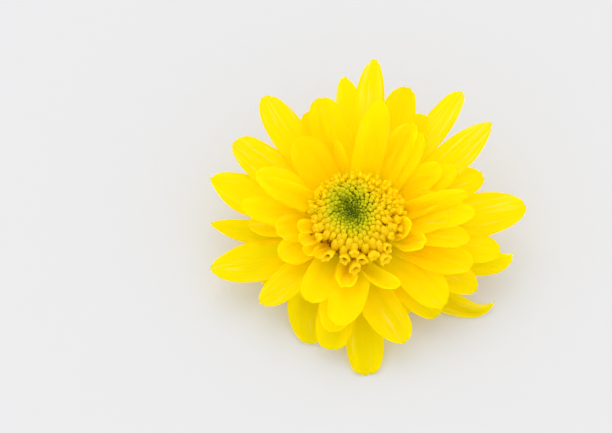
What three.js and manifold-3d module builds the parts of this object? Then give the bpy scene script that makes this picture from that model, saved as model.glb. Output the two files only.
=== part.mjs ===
// A yellow double chrysanthemum head, cut right under its bracts and lying face up, leaning forward.
// Millimetres, +Z up. The head faces up and towards -Y. The origin is the bottom centre of its box.
// Inside the head, heights count from the plane of the outer petal roots, and azimuths run
// anticlockwise seen from above: 0 is +X, 90 is the back (+Y) and 270 is the front (-Y).
import * as THREE from 'three';
import { mergeVertices } from 'three/addons/utils/BufferGeometryUtils.js';
import Module from 'manifold-3d';

const wasm = await Module();
wasm.setup();

// ---------- driving dimensions ----------
const HEAD_LEAN = 10; // degrees that the head leans forward
const HEAD_HEIGHT = 9.2; // from the table to the middle of the petal root plane
const NODE_GAP = 0.3; // between pieces that touch on the real head
const GOLDEN_ANGLE = 137.508;

const PETAL_THICKNESS = 0.7;
const PETAL_WIDEST = 0.58; // where a petal is widest, as a share of its length
const PETAL_SWELL = 1.25; // how fast it widens from its root
const PETAL_TAPER = { start: 2.6, blunt: 0.5, sharp: 0.55 }; // how it narrows again past the widest place
const PETAL_STATIONS = [0, 0.2, 0.42, 0.62, 0.8, 0.92, 0.985];
const PETAL_ACROSS = 2;
const KNEE_ENDS = 0.45; // a petal is steeper at its root up to here
const HOOK_FROM = 0.72; // share of the length where a hooked tip begins to rise
const SWERVE_FROM = 0.78; // where a tip begins to bend sideways
const LEAN_FROM = 0.5; // where a tip begins to lie to one side of the petal's middle line
const ROLL_BY = 0.62; // where a rolled petal has turned all the way
// Petal roots of each layer, from the outermost inwards: distance from the axis, height, and
// width as a share of the widest width.
const LAYERS = {
  1: { radius: 7.2, height: -2.6, claw: 0.55 },
  2: { radius: 7.0, height: -2.0, claw: 0.58 },
  3: { radius: 6.8, height: -1.4, claw: 0.66 },
  4: { radius: 6.5, height: -0.8, claw: 0.82 },
  5: { radius: 6.2, height: -0.2, claw: 0.6 },
};

// Outlines of the turned pieces: distance from the axis and height, from the bottom to the top.
const RECEPTACLE_BOTTOM = -3.6;
const RECEPTACLE_OUTLINE = [
  [0, RECEPTACLE_BOTTOM],
  [6.4, RECEPTACLE_BOTTOM],
  [8.1, -2.8],
  [8.4, -1.2],
  [7.9, 0.2],
  [7.0, 0.8],
  [0, 0.8],
];

const DISC_CENTRE = { x: -0.5, y: -1.2 }; // the disc sits a little forward in the petals
const DISC_CORE_TOP = 6.9;
const DISC_CORE_OUTLINE = [
  [0, 1.1],
  [6.9, 1.1],
  [7.9, 2.4],
  [7.9, 4.6],
  [7.2, 6.2],
  [6.4, DISC_CORE_TOP],
  [0, DISC_CORE_TOP],
];
// The space between the petals that the disc keeps: a shallow bowl with steep sides. The petals
// stay outside it and the disc inside it, each by half the gap.
const DISC_SPACE_TOP = 12;
const DISC_SPACE = {
  floor: 0.95, inner: 7.0, middle: 9.0, bowl: 2.0, outer: 11.4, rim: 3.3, wall: 12.0, lip: 4.6,
};
// The bowl is cut back behind the disc, where the petals stand up steeply.
const DISC_BACK_CENTRE = { x: -0.3, y: -3.0 };
const DISC_BACK = { foot: 10.4, footTop: 2.5, wall: 12.6, wallFrom: 5.0 };

const FLORET_SIDES = 5;
const MOUTH_DEPTH = 0.55; // of the pit in an open floret
const TIP_RISE = 0.35; // of the point on a closed one

const BUD_CAP_RADIUS = 5.6;
const BUD_CAP_SHOULDER = { radius: 3.6, edge: 7.9 };
const BUD_CAP_TOP = 8.7;
const BUD_FIELD_RADIUS = 5.5;
const BUD_COUNT = 68;
const BUD_SPREAD = 0.45; // power of the spiral; 0.5 would space the buds evenly
// Radius of a bud's foot in the middle of the disc and what it gains by the rim; length and tip
// are shares of the foot's radius.
const BUD_SIZE = { middle: 0.36, growth: 0.18, length: 1.2, tip: 0.8 };
const BUD_DROP = { middle: 0.45, rim: 0.55 }; // how far the buds start below the cap's top
const BUD_TILT = 35; // degrees that the outermost buds lean out

const CUP_BOTTOM = -7.5;
const CUP_OUTLINE = [
  [0, CUP_BOTTOM],
  [3.4, -7.4],
  [5.6, -6.5],
  [7.2, -5.3],
  [7.6, RECEPTACLE_BOTTOM - NODE_GAP],
  [0, RECEPTACLE_BOTTOM - NODE_GAP],
];
const BRACT_THICKNESS = 0.7;
const BRACT_BULGE = { out: 0.24, down: 0.32 }; // of its middle
// Rows of a bract along its length, with the share of its widest width that each has.
const BRACT_ROWS = [[0, 0.8], [0.5, 1], [1, 0.25]];

const STALK_TOP = CUP_BOTTOM - NODE_GAP;
const STALK_OUTLINE = [
  [0, STALK_TOP - 4],
  [2.1, STALK_TOP - 4],
  [2.2, STALK_TOP - 0.8],
  [2.7, STALK_TOP],
  [0, STALK_TOP],
];
const TABLE_BLOCK = { side: 30, depth: 20 }; // what the stalk is cut with, below the table
// Flat sides of the turned pieces.
const SIDES = { receptacle: 20, space: 24, core: 20, cap: 12, cup: 20, stalk: 16 };

// ---------- petals ----------
// azimuth and reach place the tip seen from above; rise is the chord's slope; knee stands the root
// end up steeper; arch bends the blade down towards its tip (negative: up); slant swings the root
// round the axis; veer bends the blade sideways; cup is the half angle of its hollow section and
// roll turns that section round the middle line; point sharpens the tip, hook lifts it, swerve
// bends it sideways, and lean sets it to one side by this share of half the width; claw is the
// width at the root as a share, where it differs from the layer's. Sideways is anticlockwise seen
// from above.
const PETAL_DEFAULTS = {
  knee: 0, arch: 10, cup: 25, roll: 0, slant: 0, veer: 0, point: 0.1, hook: 0, swerve: 0, lean: 0,
};
const PETALS = [
  // outer layers, from the back round the right side to the front
  { layer: 2, azimuth: 82.8, reach: 31.4, rise: 25, width: 6.2, slant: -6, point: 0.3 },
  { layer: 3, azimuth: 66.9, reach: 26.5, rise: 31, knee: 30, width: 7.6, arch: 20, point: 0.05 },
  { layer: 3, azimuth: 56, reach: 24.7, rise: 22, knee: 20, width: 6.5, arch: 15, cup: 20 },
  {
    layer: 2, azimuth: 48.1, reach: 32.5, rise: 21, width: 5.9, cup: 30, slant: -3, point: 0.08,
    lean: 0.18,
  },
  {
    layer: 2, azimuth: 33.8, reach: 32.2, rise: 22, width: 7.2, arch: 5, slant: -5, veer: 18,
    point: 0.5,
  },
  { layer: 3, azimuth: 17.3, reach: 26.4, rise: 17, width: 7.3, arch: 15, cup: 20 },
  {
    layer: 2, azimuth: 2.6, reach: 33.2, rise: 15, width: 9, arch: 0, roll: 10, slant: -6, veer: 16,
    point: 0.15, lean: 0,
  },
  { layer: 2, azimuth: -14, reach: 29, rise: 11, width: 7.5 },
  {
    layer: 1, azimuth: -15, reach: 31.6, rise: 4, width: 7, arch: -10, slant: -12, veer: 16,
    point: 0.6, hook: 50, swerve: 45,
  },
  { layer: 2, azimuth: -32, reach: 27.5, rise: 10, width: 7 },
  {
    layer: 1, azimuth: -31, reach: 30.2, rise: -9.55, width: 5.4, arch: -5, slant: -30, veer: 40,
    point: 0.9, hook: 66, swerve: 60, lean: -0.3,
  },
  { layer: 2, azimuth: -50, reach: 24.8, rise: 4, width: 7.6, point: -0.1 },
  {
    layer: 3, azimuth: -45.3, reach: 24.8, rise: 14, width: 8.2, arch: 12, veer: -6, point: 0.15,
    lean: -0.2,
  },
  {
    layer: 2, azimuth: -72, reach: 26.6, rise: 8, width: 7.8, arch: 12, slant: -6, veer: 14,
    point: 0.1, lean: 0.3,
  },
  { layer: 1, azimuth: -84.9, reach: 30, rise: -3, width: 7.7, arch: 12, point: -0.25, lean: -0.15 },
  { layer: 1, azimuth: -101.5, reach: 26.2, rise: 5, width: 7.6, arch: 15, point: -0.2 },
  {
    layer: 1, azimuth: -115.8, reach: 25.9, rise: -6.2, width: 7.8, slant: -14, veer: 30, point: -0.05,
    lean: 0.6,
  },
  { layer: 2, azimuth: -137, reach: 25.2, rise: 10, width: 6.3, point: 0.2 },
  {
    layer: 1, azimuth: -161.5, reach: 30, rise: 6, width: 8.4, arch: 5, slant: 10, veer: -24,
    point: 0.4,
  },
  {
    layer: 1, azimuth: 181.3, reach: 28.9, rise: 5, width: 5, arch: 5, slant: 8, veer: -25, point: 0.7,
    lean: -0.3,
  },
  {
    layer: 2, azimuth: 163.2, reach: 29.8, rise: 11, width: 8.5, arch: 0, slant: 8, veer: -18,
    point: 0.5,
  },
  { layer: 2, azimuth: 148.5, reach: 28.6, rise: 15, width: 8, point: 0.1, lean: -0.15 },
  { layer: 2, azimuth: 127.3, reach: 30.6, rise: 18, width: 7.5, arch: 5, point: 0.15, lean: -0.1 },
  { layer: 3, azimuth: 114, reach: 23.6, rise: 20, knee: 26, width: 6 },
  {
    layer: 3, azimuth: 105.2, reach: 25.1, rise: 22, knee: 26, width: 7.6, arch: 15, point: 0,
    lean: 0.1,
  },
  { layer: 2, azimuth: 91.6, reach: 29, rise: 19, width: 6.2, point: 0.35, lean: 0.4 },
  // inner layers
  {
    layer: 4, azimuth: 78.6, reach: 21.6, rise: 39, knee: 40, width: 6.3, arch: 15, cup: 15, slant: -6,
    point: 0.2, lean: -0.2, claw: 0.95,
  },
  { layer: 5, azimuth: 103.5, reach: 15.6, rise: 31, knee: 36, width: 3, roll: -35, point: 0.3 },
  { layer: 4, azimuth: 129, reach: 18.3, rise: 37, knee: 40, width: 7.6, arch: 15, cup: 15, point: 0 },
  {
    layer: 4, azimuth: 158, reach: 20.7, rise: 33, knee: 36, width: 6.6, arch: 12, point: 0.3,
    lean: 0.2,
  },
  { layer: 4, azimuth: 163, reach: 18.8, rise: 33, knee: 36, width: 5, cup: 35, roll: -20, point: 0.15 },
  {
    layer: 3, azimuth: 177, reach: 22.5, rise: 22, knee: 20, width: 6.4, arch: 12, point: 0.35,
    lean: -0.2,
  },
  { layer: 2, azimuth: 182.5, reach: 21, rise: 14, width: 6, arch: 15, point: 0.2 },
  { layer: 4, azimuth: 190, reach: 15.8, rise: 27, knee: 20, width: 6.2, arch: 5, cup: 30, point: 0 },
  { layer: 4, azimuth: 209.5, reach: 17, rise: 23, knee: 10, width: 6.4, arch: 5, cup: 30, point: 0 },
  { layer: 4, azimuth: 243, reach: 19.7, rise: 20, width: 7, arch: 5, cup: 30, point: 0 },
  { layer: 3, azimuth: 258, reach: 23.7, rise: 13, width: 7, arch: 12, cup: 30, point: 0 },
  {
    layer: 4, azimuth: 263.2, reach: 22.8, rise: 19, width: 7.2, arch: 8, slant: 14, veer: -6,
    point: 0, lean: -0.25,
  },
  {
    layer: 5, azimuth: 261.5, reach: 15.4, rise: 29, width: 5, arch: -25, cup: 62, point: -0.1,
    hook: 25,
  },
  {
    layer: 5, azimuth: 300.5, reach: 17, rise: 26, width: 4.3, arch: -25, cup: 72, slant: -30,
    veer: 50, point: 0.1, hook: 20,
  },
  {
    layer: 5, azimuth: 333.5, reach: 14.9, rise: 34, width: 5.6, arch: -20, cup: 62, point: -0.1,
    hook: 20,
  },
  {
    layer: 5, azimuth: -14, reach: 11.1, rise: 54, width: 5.2, arch: -25, cup: 62, slant: -20,
    point: -0.1, hook: 20,
  },
  { layer: 4, azimuth: -4, reach: 18, rise: 33, knee: 20, width: 6, arch: 5, cup: 30 },
  { layer: 4, azimuth: -15.5, reach: 22.5, rise: 26, knee: 20, width: 5.6, arch: 8, cup: 30 },
  { layer: 3, azimuth: -3, reach: 22.8, rise: 32, knee: 20, width: 5.6, cup: 30 },
  { layer: 4, azimuth: 6.5, reach: 21.5, rise: 35, knee: 26, width: 4, cup: 25, roll: 30 },
  { layer: 4, azimuth: 9, reach: 16.5, rise: 37, knee: 26, width: 5, cup: 30 },
  { layer: 4, azimuth: 24.5, reach: 16.5, rise: 36, knee: 26, width: 5, cup: 30 },
  { layer: 4, azimuth: 28.5, reach: 19, rise: 33, knee: 26, width: 5.6, cup: 30 },
  { layer: 3, azimuth: 24, reach: 21.5, rise: 29, knee: 20, width: 6, cup: 30 },
  { layer: 3, azimuth: -27.5, reach: 24.6, rise: 19, width: 7.2, arch: 8, point: -0.05, lean: 0.2 },
  { layer: 4, azimuth: 48, reach: 20.2, rise: 34, knee: 36, width: 5.8, arch: 15, point: 0.4, lean: 0.2 },
  {
    layer: 4, azimuth: 58, reach: 20.7, rise: 35, knee: 36, width: 6.2, arch: 15, point: 0.3,
    lean: -0.2,
  },
  // short ones below, between the others
  { layer: 2, azimuth: 72, reach: 22, rise: 18, width: 6.4 },
  { layer: 2, azimuth: 22, reach: 22, rise: 12, width: 6.4 },
  { layer: 2, azimuth: -60, reach: 21, rise: 3, width: 6.4 },
  { layer: 2, azimuth: -122, reach: 18.5, rise: 3, width: 6 },
  { layer: 1, azimuth: -147, reach: 22, rise: 4, width: 6.4 },
  { layer: 1, azimuth: 170, reach: 21, rise: 6, width: 6 },
  { layer: 1, azimuth: 137, reach: 22, rise: 9, width: 6.4 },
  { layer: 1, azimuth: 110, reach: 21, rise: 12, width: 6 },
];

// Disc florets, in rings from the rim inwards. Each ring's florets start at the base point and
// lean out at the given slope; the last ring stands nearly upright.
const FLORET_RINGS = [
  { count: 22, radius: 6.6, height: 2.5, slope: 27, length: 4.6, base: 0.7, mouth: 0.95, open: true },
  { count: 21, radius: 6.6, height: 4.0, slope: 38, length: 3.8, base: 0.7, mouth: 0.9, open: true },
  { count: 20, radius: 6.5, height: 5.2, slope: 52, length: 3.0, base: 0.7, mouth: 0.85, open: false },
  { count: 19, radius: 6.6, height: 5.9, slope: 72, length: 2.6, base: 0.65, mouth: 0.75, open: false },
];

const BRACT_RINGS = [
  { count: 11, rootRadius: 5.2, rootHeight: -6.4, tipRadius: 10.4, tipHeight: -4.2, width: 4.2 },
  { count: 9, rootRadius: 4.6, rootHeight: -6.9, tipRadius: 9.3, tipHeight: -5.2, width: 4.0 },
  { count: 6, rootRadius: 3.2, rootHeight: -7.3, tipRadius: 7.2, tipHeight: -6.4, width: 3.6 },
];

// ---------- materials ----------
const petalMaterial = new THREE.MeshStandardMaterial({ color: 0xffe90a, roughness: 0.5, metalness: 0 });
const floretMaterial = new THREE.MeshStandardMaterial({ color: 0xf5d20a, roughness: 0.5, metalness: 0 });
const budMaterial = new THREE.MeshStandardMaterial({ color: 0xb4b414, roughness: 0.6, metalness: 0 });
const bractMaterial = new THREE.MeshStandardMaterial({ color: 0x5f7d2d, roughness: 0.6, metalness: 0 });
const stalkMaterial = new THREE.MeshStandardMaterial({ color: 0x6f8c3c, roughness: 0.6, metalness: 0 });

// ---------- small helpers ----------
const radians = THREE.MathUtils.degToRad;

function onCircle(radius, azimuth, height) {
  const angle = radians(azimuth);
  return new THREE.Vector3(radius * Math.cos(angle), radius * Math.sin(angle), height);
}

function toSolid(geometry) {
  const bare = geometry.index ? geometry.toNonIndexed() : geometry.clone();
  bare.deleteAttribute('normal');
  bare.deleteAttribute('uv');
  const merged = mergeVertices(bare, 1e-4);
  const mesh = new wasm.Mesh({
    numProp: 3,
    vertProperties: new Float32Array(merged.attributes.position.array),
    triVerts: new Uint32Array(merged.index.array),
  });
  return new wasm.Manifold(mesh);
}

function toGeometry(solid) {
  const mesh = solid.getMesh();
  const geometry = new THREE.BufferGeometry();
  geometry.setAttribute('position', new THREE.BufferAttribute(new Float32Array(mesh.vertProperties), 3));
  geometry.setIndex(new THREE.BufferAttribute(new Uint32Array(mesh.triVerts), 1));
  geometry.computeVertexNormals();
  return geometry;
}

function joinAll(solids) {
  let level = solids;
  while (level.length > 1) {
    const next = [];
    for (let i = 0; i < level.length; i += 2) {
      next.push(i + 1 < level.length ? level[i].add(level[i + 1]) : level[i]);
    }
    level = next;
  }
  return level[0];
}

// The largest connected surface of a solid: it drops sealed gaps between crossing blades, and crumbs.
function oneBody(solid) {
  return solid.decompose().sort((a, b) => b.volume() - a.volume())[0];
}

// A solid of revolution about the head's axis, or about an axis through `centre`.
function turned(profile, sides, centre = { x: 0, y: 0 }) {
  const points = profile.map(([radius, height]) => new THREE.Vector2(radius, height));
  const geometry = new THREE.LatheGeometry(points, sides);
  geometry.rotateX(Math.PI / 2);
  geometry.translate(centre.x, centre.y, 0);
  return toSolid(geometry);
}

// A thin closed blade from a grid of middle points and their normals.
function blade(points, normals, thickness) {
  const across = points[0].length;
  const vertices = [];
  for (const side of [1, -1]) {
    points.forEach((row, i) =>
      row.forEach((point, j) =>
        vertices.push(point.clone().addScaledVector(normals[i][j], (side * thickness) / 2))));
  }
  const upper = (i, j) => i * across + j;
  const lower = (i, j) => points.length * across + i * across + j;
  const faces = [];
  const quad = (a, b, c, d) => faces.push(a, b, c, a, c, d);
  for (let i = 0; i + 1 < points.length; i++) {
    for (let j = 0; j + 1 < across; j++) {
      quad(upper(i, j), upper(i + 1, j), upper(i + 1, j + 1), upper(i, j + 1));
      faces.push(lower(i, j), lower(i + 1, j + 1), lower(i + 1, j));
      faces.push(lower(i, j), lower(i, j + 1), lower(i + 1, j + 1));
    }
    quad(upper(i, 0), lower(i, 0), lower(i + 1, 0), upper(i + 1, 0));
    quad(upper(i + 1, across - 1), lower(i + 1, across - 1), lower(i, across - 1), upper(i, across - 1));
  }
  const last = points.length - 1;
  for (let j = 0; j + 1 < across; j++) {
    quad(upper(0, j + 1), lower(0, j + 1), lower(0, j), upper(0, j));
    quad(upper(last, j), lower(last, j), lower(last, j + 1), upper(last, j + 1));
  }
  const geometry = new THREE.BufferGeometry();
  const flat = faces.flatMap((index) => vertices[index].toArray());
  geometry.setAttribute('position', new THREE.Float32BufferAttribute(flat, 3));
  return toSolid(geometry);
}

// ---------- ray florets ----------
function petalWidthAt(s, point, claw) {
  const swell = Math.sin((Math.min(s / PETAL_WIDEST, 1) * Math.PI) / 2) ** PETAL_SWELL;
  const beyond = Math.max((s - PETAL_WIDEST) / (1 - PETAL_WIDEST), 0);
  const narrowing = PETAL_TAPER.blunt + PETAL_TAPER.sharp * point;
  const taper = (1 - beyond ** (PETAL_TAPER.start - point)) ** narrowing;
  return (claw + (1 - claw) * swell) * taper;
}

// Points and directions along a petal's middle line. The line is first walked with a unit length,
// then scaled so that it ends at the petal's tip.
function petalLine(petal) {
  const { radius, height } = LAYERS[petal.layer];
  const root = onCircle(radius, petal.azimuth + petal.slant, height);
  const tipHeight = height + (petal.reach - radius) * Math.tan(radians(petal.rise));
  const chord = onCircle(petal.reach, petal.azimuth, tipHeight).sub(root);
  const heading = Math.atan2(chord.y, chord.x);
  const climb = Math.atan2(chord.z, Math.hypot(chord.x, chord.y));
  const anglesAt = (s) => {
    const knee = radians(petal.knee) * (Math.max(1 - s / KNEE_ENDS, 0) ** 2 - KNEE_ENDS / 3);
    const lift = radians(petal.hook) * Math.max((s - HOOK_FROM) / (1 - HOOK_FROM), 0) ** 2;
    const swerve = radians(petal.swerve) * Math.max((s - SWERVE_FROM) / (1 - SWERVE_FROM), 0) ** 1.5;
    return {
      pitch: climb + radians(petal.arch) * (0.5 - s) + knee + lift,
      yaw: heading + radians(petal.veer) * (s - 0.5) + swerve,
    };
  };
  const stepsPerUnit = 100;
  const walked = [new THREE.Vector3()];
  for (let k = 0; k < stepsPerUnit; k++) {
    const { pitch, yaw } = anglesAt((k + 0.5) / stepsPerUnit);
    const step = new THREE.Vector3(
      Math.cos(pitch) * Math.cos(yaw), Math.cos(pitch) * Math.sin(yaw), Math.sin(pitch));
    walked.push(walked[k].clone().addScaledVector(step, 1 / stepsPerUnit));
  }
  const scale = chord.length() / walked[stepsPerUnit].length();
  const pointAt = (s) =>
    walked[Math.round(s * stepsPerUnit)].clone().multiplyScalar(scale).add(root);
  return { pointAt, anglesAt };
}

function petalSolid(spec) {
  const petal = { ...PETAL_DEFAULTS, ...spec };
  const claw = petal.claw || LAYERS[petal.layer].claw;
  const { pointAt, anglesAt } = petalLine(petal);
  const cup = radians(petal.cup);
  const points = [];
  const normals = [];
  for (const s of PETAL_STATIONS) {
    const { pitch, yaw } = anglesAt(s);
    const along = new THREE.Vector3(
      Math.cos(pitch) * Math.cos(yaw), Math.cos(pitch) * Math.sin(yaw), Math.sin(pitch));
    const level = new THREE.Vector3(-Math.sin(yaw), Math.cos(yaw), 0);
    const roll = radians(petal.roll) * Math.min(s / ROLL_BY, 1);
    const side = level.clone().applyAxisAngle(along, roll);
    const up = along.clone().cross(side);
    const half = (petal.width / 2) * petalWidthAt(s, petal.point, claw);
    const shift = petal.lean * (petal.width / 2) * THREE.MathUtils.smoothstep(s, LEAN_FROM, 1);
    const row = [];
    const rowNormals = [];
    for (let j = 0; j <= PETAL_ACROSS; j++) {
      const turn = cup * ((2 * j) / PETAL_ACROSS - 1);
      const sideways = (half * Math.sin(turn)) / cup + shift;
      const lift = (half * (1 - Math.cos(turn))) / cup;
      row.push(pointAt(s).addScaledVector(side, sideways).addScaledVector(up, lift));
      rowNormals.push(
        up.clone().multiplyScalar(Math.cos(turn)).addScaledVector(side, -Math.sin(turn)));
    }
    points.push(row);
    normals.push(rowNormals);
  }
  return blade(points, normals, PETAL_THICKNESS);
}

// The space that the disc keeps, grown by `margin`.
function discSpace(margin) {
  const { floor, inner, middle, bowl, outer, rim, wall, lip } = DISC_SPACE;
  const open = turned([
    [0, floor - margin],
    [inner, floor - margin],
    [middle, bowl - margin],
    [outer + margin, rim - margin],
    [wall + margin, lip],
    [wall + margin, DISC_SPACE_TOP],
    [0, DISC_SPACE_TOP],
  ], SIDES.space, DISC_CENTRE);
  const back = turned([
    [0, 0],
    [DISC_BACK.foot + margin, 0],
    [DISC_BACK.foot + margin, DISC_BACK.footTop],
    [DISC_BACK.wall + margin, DISC_BACK.wallFrom],
    [DISC_BACK.wall + margin, DISC_SPACE_TOP],
    [0, DISC_SPACE_TOP],
  ], SIDES.space, DISC_BACK_CENTRE);
  return open.intersect(back);
}

function rayFlorets() {
  const receptacle = turned(RECEPTACLE_OUTLINE, SIDES.receptacle);
  const petals = PETALS.map(petalSolid);
  return joinAll([receptacle, ...petals]).subtract(discSpace(NODE_GAP / 2));
}

// ---------- disc florets ----------
// A tapered tube with a pit in its mouth if it is open, or a low point if it is closed,
// standing on +Y before it is turned to its place.
function floretGeometry({ length, base, mouth, open }) {
  const top = open ? length - MOUTH_DEPTH : length + TIP_RISE;
  const profile = [
    [0, 0],
    [base, 0],
    [mouth, length],
    [0, top],
  ].map(([radius, height]) => new THREE.Vector2(radius, height));
  return new THREE.LatheGeometry(profile, FLORET_SIDES);
}

function placedFloret(shape, radius, azimuth, height, slope) {
  const out = onCircle(Math.cos(radians(slope)), azimuth, Math.sin(radians(slope)));
  const turn = new THREE.Quaternion().setFromUnitVectors(new THREE.Vector3(0, 1, 0), out);
  const place = onCircle(radius, azimuth, height);
  const geometry = floretGeometry(shape);
  geometry.applyQuaternion(turn);
  geometry.translate(place.x + DISC_CENTRE.x, place.y + DISC_CENTRE.y, place.z);
  return toSolid(geometry);
}

function discFlorets() {
  const core = turned(DISC_CORE_OUTLINE, SIDES.core, DISC_CENTRE);
  const florets = [];
  FLORET_RINGS.forEach((ring, r) => {
    for (let k = 0; k < ring.count; k++) {
      const azimuth = (360 * (k + (r % 2) / 2)) / ring.count;
      florets.push(placedFloret(ring, ring.radius, azimuth, ring.height, ring.slope));
    }
  });
  const capSpaceRadius = BUD_CAP_RADIUS + 3 * NODE_GAP;
  const capSpace = turned([
    [0, DISC_CORE_TOP],
    [capSpaceRadius, DISC_CORE_TOP],
    [capSpaceRadius, DISC_SPACE_TOP],
    [0, DISC_SPACE_TOP],
  ], SIDES.core, DISC_CENTRE);
  return joinAll([core, ...florets]).subtract(capSpace).intersect(discSpace(-NODE_GAP / 2));
}

// ---------- closed buds in the middle of the disc ----------
function discBuds() {
  const bottom = DISC_CORE_TOP + NODE_GAP;
  const cap = turned([
    [0, bottom],
    [BUD_CAP_RADIUS, bottom],
    [BUD_CAP_RADIUS, BUD_CAP_SHOULDER.edge],
    [BUD_CAP_SHOULDER.radius, BUD_CAP_TOP],
    [0, BUD_CAP_TOP],
  ], SIDES.cap, DISC_CENTRE);
  const buds = [];
  for (let k = 0; k < BUD_COUNT; k++) {
    const share = ((k + 0.5) / BUD_COUNT) ** BUD_SPREAD;
    const radius = BUD_FIELD_RADIUS * share;
    const size = BUD_SIZE.middle + BUD_SIZE.growth * share;
    const height = BUD_CAP_TOP - BUD_DROP.middle - BUD_DROP.rim * share ** 4;
    const slope = 90 - BUD_TILT * share ** 2;
    const shape = { length: size * BUD_SIZE.length, base: size, mouth: size * BUD_SIZE.tip, open: false };
    buds.push(placedFloret(shape, radius, k * GOLDEN_ANGLE, height, slope));
  }
  return joinAll([cap, ...buds]);
}

// ---------- bracts and stalk ----------
function bractSolid(ring, azimuth) {
  const points = [];
  const normals = [];
  BRACT_ROWS.forEach(([s, width]) => {
    const bulge = Math.sin(Math.PI * s);
    const radius = THREE.MathUtils.lerp(ring.rootRadius, ring.tipRadius, s) + bulge * BRACT_BULGE.out;
    const height = THREE.MathUtils.lerp(ring.rootHeight, ring.tipHeight, s) - bulge * BRACT_BULGE.down;
    const middle = onCircle(radius, azimuth, height);
    const side = onCircle(1, azimuth + 90, 0);
    const slope = Math.atan2(ring.tipHeight - ring.rootHeight, ring.tipRadius - ring.rootRadius);
    const up = onCircle(-Math.sin(slope), azimuth, Math.cos(slope));
    const half = (ring.width / 2) * width;
    points.push([-1, 1].map((j) => middle.clone().addScaledVector(side, j * half)));
    normals.push([up, up]);
  });
  return blade(points, normals, BRACT_THICKNESS);
}

function involucre() {
  const cup = turned(CUP_OUTLINE, SIDES.cup);
  const bracts = [];
  BRACT_RINGS.forEach((ring, r) => {
    for (let k = 0; k < ring.count; k++) {
      bracts.push(bractSolid(ring, (360 * (k + (r % 2) / 2)) / ring.count));
    }
  });
  return joinAll([cup, ...bracts]);
}

function peduncle() {
  const stalk = turned(STALK_OUTLINE, SIDES.stalk);
  // The cut lies flat on the table, which the leaning head meets at a slant.
  const belowTable = new THREE.BoxGeometry(TABLE_BLOCK.side, TABLE_BLOCK.side, TABLE_BLOCK.depth);
  belowTable.translate(0, 0, -HEAD_HEIGHT - TABLE_BLOCK.depth / 2);
  belowTable.rotateX(-radians(HEAD_LEAN));
  return stalk.subtract(toSolid(belowTable));
}

// ---------- the bloom ----------
const head = new THREE.Group();
function addPiece(name, solid, material) {
  const mesh = new THREE.Mesh(toGeometry(oneBody(solid)), material);
  mesh.name = name;
  head.add(mesh);
}
addPiece('peduncle', peduncle(), stalkMaterial);
addPiece('involucre', involucre(), bractMaterial);
addPiece('ray_florets', rayFlorets(), petalMaterial);
addPiece('disc_florets', discFlorets(), floretMaterial);
addPiece('disc_buds', discBuds(), budMaterial);

head.rotation.x = radians(HEAD_LEAN);
head.position.z = HEAD_HEIGHT;

const bloom = new THREE.Group();
bloom.add(head);
bloom.updateMatrixWorld(true);
const box = new THREE.Box3().setFromObject(bloom, true);
const middle = box.getCenter(new THREE.Vector3());
head.position.x -= middle.x;
head.position.y -= middle.y;
head.position.z -= box.min.z;

export default bloom;
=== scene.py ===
import math
import random

import bpy
import numpy as np
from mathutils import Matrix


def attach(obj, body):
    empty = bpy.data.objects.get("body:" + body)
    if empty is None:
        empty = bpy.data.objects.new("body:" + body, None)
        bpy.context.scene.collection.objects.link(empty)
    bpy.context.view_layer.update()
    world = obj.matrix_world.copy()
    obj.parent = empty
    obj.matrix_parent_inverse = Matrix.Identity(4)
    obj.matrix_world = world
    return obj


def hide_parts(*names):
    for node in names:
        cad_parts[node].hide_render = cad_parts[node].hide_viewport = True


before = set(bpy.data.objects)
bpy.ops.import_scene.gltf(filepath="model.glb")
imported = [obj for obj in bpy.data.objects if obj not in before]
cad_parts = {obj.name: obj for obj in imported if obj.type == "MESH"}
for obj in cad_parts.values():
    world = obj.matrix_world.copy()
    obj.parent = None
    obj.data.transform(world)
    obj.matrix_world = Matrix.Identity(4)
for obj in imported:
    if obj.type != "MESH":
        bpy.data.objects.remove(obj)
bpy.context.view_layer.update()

# ---------- the head's place and the view ----------
MM = 0.001
HEAD_LEAN = math.radians(10)
HEAD_PLACE = np.array([-2.268, -0.022, 9.2])  # of the head's origin in the row frame
GOLDEN_ANGLE = 137.508  # degrees between one disc floret and the next

VIEW_ELEVATION = math.radians(60)
VIEW_DISTANCE = 300.0  # from the head's origin
VIEW_LENS = 90.0
SENSOR_WIDTH = 36.0
IMAGE_WIDTH, IMAGE_HEIGHT = 612, 433
HEAD_PIXEL = (355.0, 222.0)  # where the middle of the petal roots falls in the image


def to_world(points):
    """Head frame in millimetres to the row frame in metres."""
    p = np.asarray(points, float)
    c, s = math.cos(HEAD_LEAN), math.sin(HEAD_LEAN)
    turned = np.stack([p[..., 0], p[..., 1] * c - p[..., 2] * s, p[..., 1] * s + p[..., 2] * c], -1)
    return (turned + HEAD_PLACE) * MM


def unit(v):
    return v / np.maximum(np.linalg.norm(v, axis=-1, keepdims=True), 1e-12)


def smooth(x, low=0.0, high=1.0):
    t = np.clip((np.asarray(x, float) - low) / (high - low), 0, 1)
    return t * t * (3 - 2 * t)


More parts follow.
